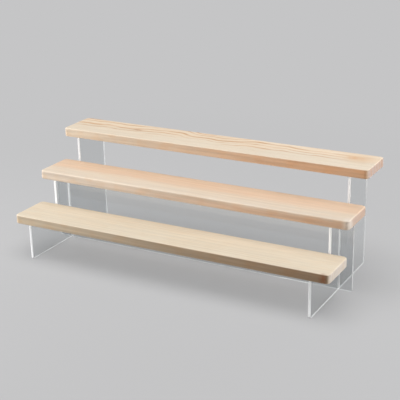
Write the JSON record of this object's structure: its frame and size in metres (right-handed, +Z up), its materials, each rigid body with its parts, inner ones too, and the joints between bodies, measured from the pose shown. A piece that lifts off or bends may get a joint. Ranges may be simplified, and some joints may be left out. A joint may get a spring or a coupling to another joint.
{
  "type": "tiered display stand",
  "caption": "Stepped tabletop display riser: long pine boards with rounded corners climb towards the back on a slotted frame of clear acrylic sheet.",
  "frame": {"origin": "on the table, under the centre of the stand's footprint", "axes": "+X along the boards, to the right seen from the front; +Y from the lowest tier at the front to the highest at the back; +Z up"},
  "size_m": [0.398, 0.161, 0.1315],
  "materials": {
    "clear_acrylic": "polished clear sheet with flame-polished edges",
    "lower_pine": "sanded bare pine, pale cream with faint straight grain",
    "middle_pine": "sanded bare pine, warm peach with a paler band along the front",
    "upper_pine": "sanded bare pine, warm with wavy tan grain lines"
  },
  "bodies": {
    "acrylic_frame": {"left_side_panel": "clear_acrylic", "right_side_panel": "clear_acrylic", "cross_panel": "clear_acrylic"},
    "lower_shelf": {"lower_board": "lower_pine"},
    "middle_shelf": {"middle_board": "middle_pine"},
    "upper_shelf": {"upper_board": "upper_pine"}
  },
  "joints": [
    {"name": "lower_board_lift", "type": "slide", "parent": "acrylic_frame", "child": "lower_shelf", "axis": [0, 0, 1], "range_m": [0, 0.04]},
    {"name": "middle_board_lift", "type": "slide", "parent": "acrylic_frame", "child": "middle_shelf", "axis": [0, 0, 1], "range_m": [0, 0.04]},
    {"name": "upper_board_lift", "type": "slide", "parent": "acrylic_frame", "child": "upper_shelf", "axis": [0, 0, 1], "range_m": [0, 0.04]}
  ]
}
